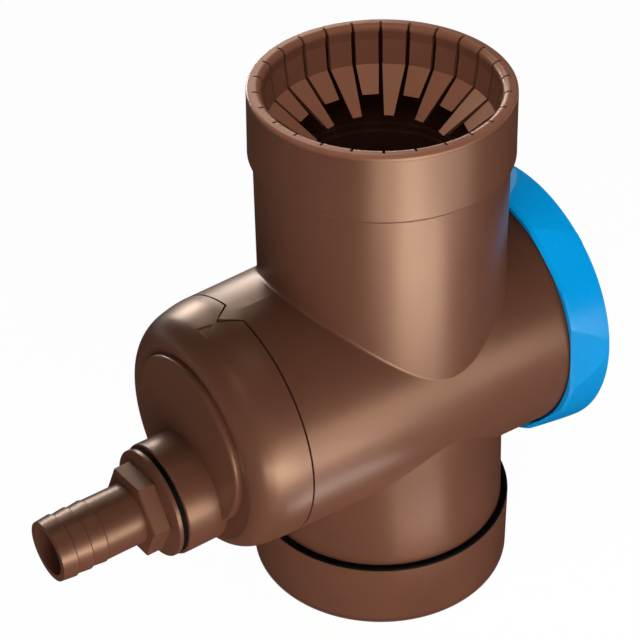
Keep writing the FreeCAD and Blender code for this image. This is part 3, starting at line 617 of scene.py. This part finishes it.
def placeLamps():
    middle = studio["lookAt"]
    for name, (azimuth, lift, distance, width, height, watts) in softBoxes.items():
        softLamp(name, around(azimuth, lift, distance), middle, width, height, watts)
    for name, (azimuth, lift, distance, width, height, watts) in shineBoxes.items():
        tone = studio["backTone"] if name.startswith("back") else (1, 1, 1)
        shineLamp(name, around(azimuth, lift, distance), middle, width, height, watts, tone)
    for name, (azimuth, low, high, width, watts) in shinePanels.items():
        level = (0, 0, (low + high) / 2)
        shineLamp(name, around(azimuth, 0, studio["panelDistance"], level), level, width, high - low, watts)
    for name, (azimuth, distance, width, length, watts) in floorPanels.items():
        place = around(azimuth, 0, distance, (0, 0, studio["floorPanelLevel"]))
        lamp = shineLamp(name, place, (place[0], place[1], 1), width, length, watts)
        lamp.rotation_euler = (math.pi, 0, math.radians(azimuth - 90))
    side = studio["bounceSize"]
    softLamp("floorBounce", (0, 0, studio["bounceLevel"]), (0, 0, 1), side, side, studio["bounceWatts"])


def lightOnly(name, piece):
    azimuth, lift, distance, width, height, watts = pieceBoxes[name]
    lamp = softLamp(name, around(azimuth, lift, distance), studio["lookAt"], width, height, watts)
    lit = bpy.data.collections.new(name + "Reach")
    lit.objects.link(piece)
    lamp.light_linking.receiver_collection = lit


placeLamps()
lightOnly("capLight", blueCapPiece)
lightOnly("crownLight", nodes["inlet_finger_ring"])
print("lamps placed")


# A level square of the studio, which is no piece of the object
def makeSheet(name, side, level, material):
    corners = [(x * side / 2, y * side / 2, level) for x, y in ((-1, -1), (1, -1), (1, 1), (-1, 1))]
    mesh = bpy.data.meshes.new(name)
    mesh.from_pydata(corners, [], [(0, 1, 2, 3)])
    mesh.materials.append(material)
    sheet = bpy.data.objects.new(name, mesh)
    bpy.context.scene.collection.objects.link(sheet)
    return sheet


# A black cloth lies round the object and keeps its edges deep; only the gloss sees it
def layFlag():
    material, tree = newMaterial("flagCloth")
    shade = studio["flagShade"]
    tree.show(tree.node("ShaderNodeBsdfDiffuse", {}, {"Color": (shade, shade, shade, 1)}))
    flag = makeSheet("flag", studio["flagSize"], studio["flagLevel"], material)
    flag.visible_camera = False
    flag.visible_diffuse = False
    flag.visible_shadow = False
    flag.visible_transmission = False


# The floor glows white where it is seen, and its share of plain paper keeps the object's soft shadow
def layFloor():
    material, tree = newMaterial("floorPaper")
    seen, shiny, clear = (tree.node("ShaderNodeLightPath", out=f"Is {kind} Ray")
                          for kind in ("Camera", "Glossy", "Transmission"))
    showing = seen.math("MAXIMUM", shiny).math("MAXIMUM", clear) * studio["floorShown"]
    shade = studio["floorShade"]
    paper = tree.node("ShaderNodeBsdfDiffuse", {}, {"Color": (shade, shade, shade, 1)})
    glow = tree.node("ShaderNodeEmission", {}, {"Color": (1, 1, 1, 1), "Strength": studio["floorGlow"]})
    tree.show(tree.node("ShaderNodeMixShader", {}, [showing, paper, glow]))
    makeSheet("floor", studio["floorSize"], studio["floorLevel"], material)


def fillAir():
    world = bpy.data.worlds.new("studioAir")
    bpy.context.scene.world = world
    world.use_nodes = True
    air = world.node_tree.nodes["Background"]
    air.inputs["Color"].default_value = (1, 1, 1, 1)
    air.inputs["Strength"].default_value = studio["airStrength"]


layFlag()
layFloor()
fillAir()
bpy.context.scene.view_settings.view_transform = "Standard"

# Turns in degrees, distance in metres, focal length and sensor in millimetres; the aim is a place in the part
camera = {
    "azimuth": -36.8135,
    "elevation": 36.6578,
    "distance": 0.893690,
    "focal": 109.995,
    "sensor": 36,
    "shift": (-0.07467, -0.02657),
    "aimOffset": (0.0066678, -0.0236373),
    "aim": (0.0, 0.0, 0.114),
}


# The camera stands back from its aim, and is slid sideways and up by shares of the distance
def placeCamera():
    turn = math.radians(camera["azimuth"])
    lift = math.radians(camera["elevation"])
    right = Vector((math.cos(turn), math.sin(turn), 0))
    back = Vector((math.sin(turn) * math.cos(lift), -math.cos(turn) * math.cos(lift), math.sin(lift)))
    up = back.cross(right)
    sideways, upward = camera["aimOffset"]
    data = bpy.data.cameras.new("photoCamera")
    data.lens = camera["focal"]
    data.sensor_width = camera["sensor"]
    data.shift_x, data.shift_y = camera["shift"]
    data.clip_start = 0.01
    data.dof.use_dof = False
    holder = bpy.data.objects.new("photoCamera", data)
    bpy.context.scene.collection.objects.link(holder)
    holder.location = Vector(camera["aim"]) + (back - right * sideways - up * upward) * camera["distance"]
    holder.rotation_euler = (math.pi / 2 - lift, 0, turn)
    bpy.context.scene.camera = holder


placeCamera()
print("studio ready")
